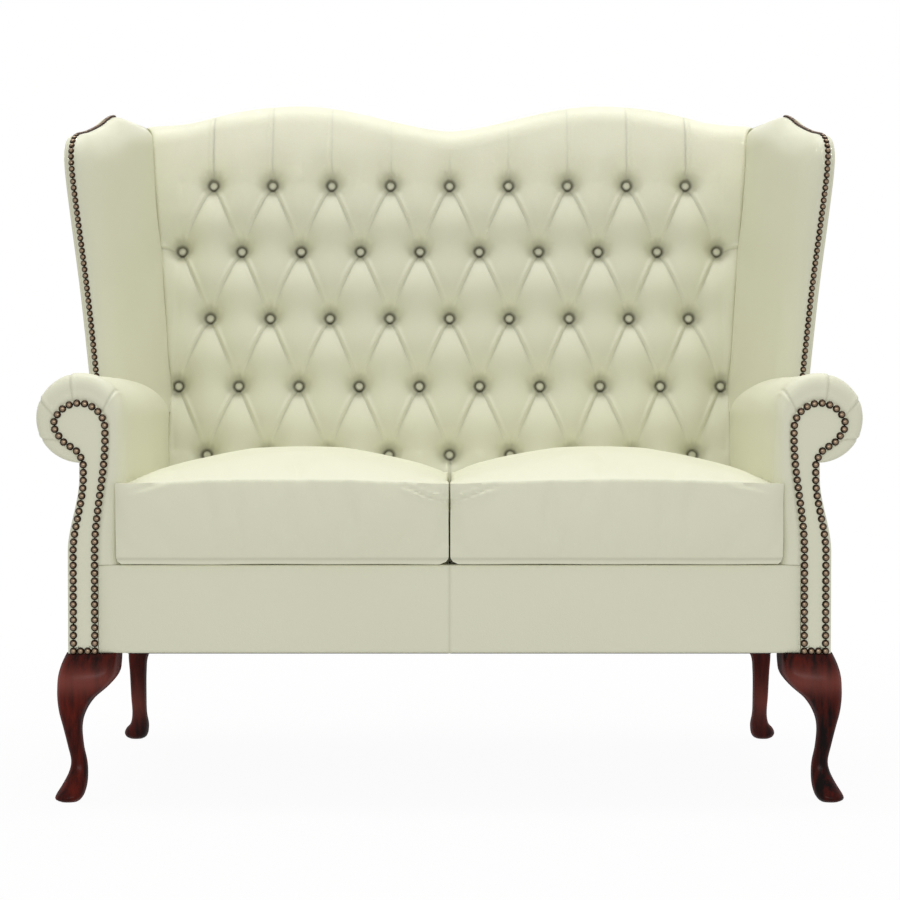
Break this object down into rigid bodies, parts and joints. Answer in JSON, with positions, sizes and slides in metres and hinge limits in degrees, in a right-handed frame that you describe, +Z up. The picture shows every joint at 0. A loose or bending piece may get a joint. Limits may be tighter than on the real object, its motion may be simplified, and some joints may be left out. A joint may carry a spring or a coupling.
{
  "type": "wing sofa",
  "caption": "High-backed leather wing sofa for two sitters, with a deep-buttoned camel back, scroll arms edged with nails, loose seat cushions and cabriole legs.",
  "frame": {"origin": "centre of the bounding box in plan, on the floor plane under the feet", "axes": "+X along the width to the right of someone who faces the sofa, +Y to the back, +Z up"},
  "size_m": [1.301, 0.8182, 1.1688],
  "materials": {
    "ivory_leather": "soft satin, lightly creased",
    "mahogany": "dark red stain under gloss lacquer",
    "beech": "planed, unfinished",
    "spring_steel": "drawn wire",
    "antique_nail": "dark antique bronze, domed",
    "deck_cloth": "woven",
    "dust_cloth": "bonded black cloth",
    "hessian": "coarse jute weave",
    "foam": "open-cell foam"
  },
  "bodies": {
    "sofa_frame": {"front_seat_rail": "beech", "rear_seat_rail": "beech", "left_seat_rail": "beech", "right_seat_rail": "beech", "centre_seat_rail": "beech", "front_left_corner_block": "beech", "front_right_corner_block": "beech", "rear_left_corner_block": "beech", "rear_right_corner_block": "beech", "left_seat_spring_1": "spring_steel", "left_seat_spring_2": "spring_steel", "left_seat_spring_3": "spring_steel", "left_seat_spring_4": "spring_steel", "right_seat_spring_1": "spring_steel", "right_seat_spring_2": "spring_steel", "right_seat_spring_3": "spring_steel", "right_seat_spring_4": "spring_steel", "seat_platform": "deck_cloth", "dust_cover": "dust_cloth", "left_arm_post": "beech", "right_arm_post": "beech", "left_arm_top_rail": "beech", "right_arm_top_rail": "beech", "left_back_post": "beech", "right_back_post": "beech", "back_top_rail": "beech", "back_tuck_rail": "beech", "back_hessian": "hessian", "left_wing_board": "beech", "right_wing_board": "beech", "inside_back": "ivory_leather", "outside_back": "ivory_leather", "left_inside_wing": "ivory_leather", "right_inside_wing": "ivory_leather", "left_outside_wing": "ivory_leather", "right_outside_wing": "ivory_leather", "left_wing_nails": "antique_nail", "right_wing_nails": "antique_nail", "left_arm_pad": "ivory_leather", "right_arm_pad": "ivory_leather", "left_outside_arm": "ivory_leather", "right_outside_arm": "ivory_leather", "left_arm_facing": "ivory_leather", "right_arm_facing": "ivory_leather", "left_facing_nails": "antique_nail", "right_facing_nails": "antique_nail", "front_border": "ivory_leather", "front_left_leg": "mahogany", "front_right_leg": "mahogany", "rear_left_leg": "mahogany", "rear_right_leg": "mahogany", "front_left_leg_bolt": "spring_steel", "front_right_leg_bolt": "spring_steel", "rear_left_leg_bolt": "spring_steel", "rear_right_leg_bolt": "spring_steel"},
    "left_cushion": {"left_cushion_cover": "ivory_leather", "left_cushion_core": "foam"},
    "right_cushion": {"right_cushion_cover": "ivory_leather", "right_cushion_core": "foam"}
  },
  "joints": [
    {"name": "left_cushion_pull", "type": "slide", "parent": "sofa_frame", "child": "left_cushion", "axis": [0, -0.9659, 0.2588], "range_m": [0, 0.6]},
    {"name": "right_cushion_pull", "type": "slide", "parent": "sofa_frame", "child": "right_cushion", "axis": [0, -0.9659, 0.2588], "range_m": [0, 0.6]}
  ]
}
